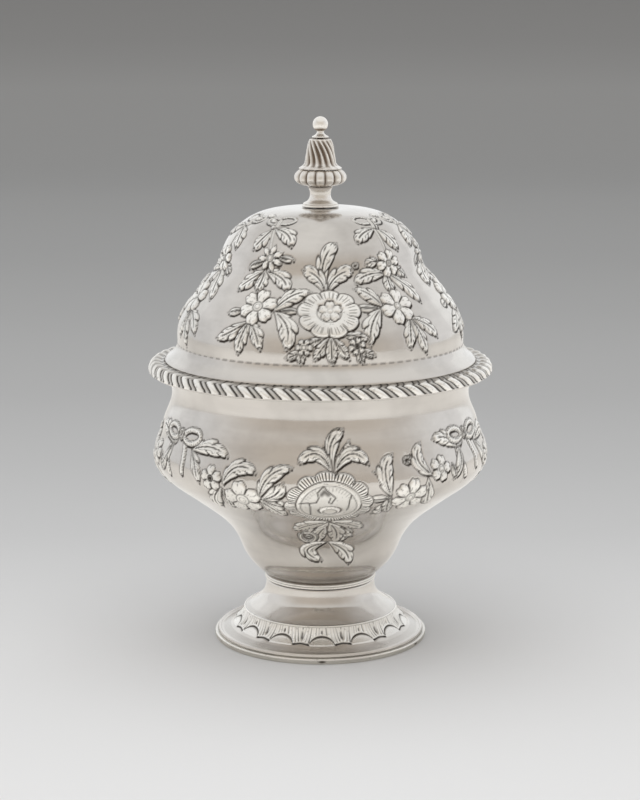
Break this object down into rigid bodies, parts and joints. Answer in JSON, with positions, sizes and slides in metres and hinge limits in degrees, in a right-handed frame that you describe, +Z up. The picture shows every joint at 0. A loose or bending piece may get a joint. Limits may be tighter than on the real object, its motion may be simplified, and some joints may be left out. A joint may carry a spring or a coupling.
{
  "type": "covered sugar bowl",
  "caption": "Footed bellied bowl with a rope border, a chased flower ornament and a lift-off domed lid topped by a fluted finial.",
  "frame": {"origin": "centre of the foot's flat underside, on the table", "axes": "+Z up along the bowl's axis, -Y the front with the middle flower spray, +X to the viewer's right"},
  "size_m": [0.1106, 0.1108, 0.1695],
  "materials": {
    "polished_silver": "polished silver sheet, softly worn",
    "cast_silver": "cast silver, polished on the ridges and darker in the grooves",
    "plain_silver": "plain silver, hidden inside the lid"
  },
  "bodies": {
    "bowl": {"foot_base_wire": "cast_silver", "foot_shell": "polished_silver", "joint_wire": "cast_silver", "bowl_shell": "polished_silver", "rim_border": "cast_silver"},
    "lid": {"lid_dome": "polished_silver", "lid_bezel": "plain_silver", "finial_pedestal": "cast_silver", "finial_belt": "cast_silver", "finial_bell": "cast_silver", "finial_ball": "cast_silver", "finial_stud": "plain_silver", "finial_washer": "plain_silver", "finial_nut": "plain_silver"}
  },
  "joints": [
    {"name": "lid_lift", "type": "slide", "parent": "bowl", "child": "lid", "axis": [0, 0, 1], "range_m": [0, 0.1]}
  ]
}
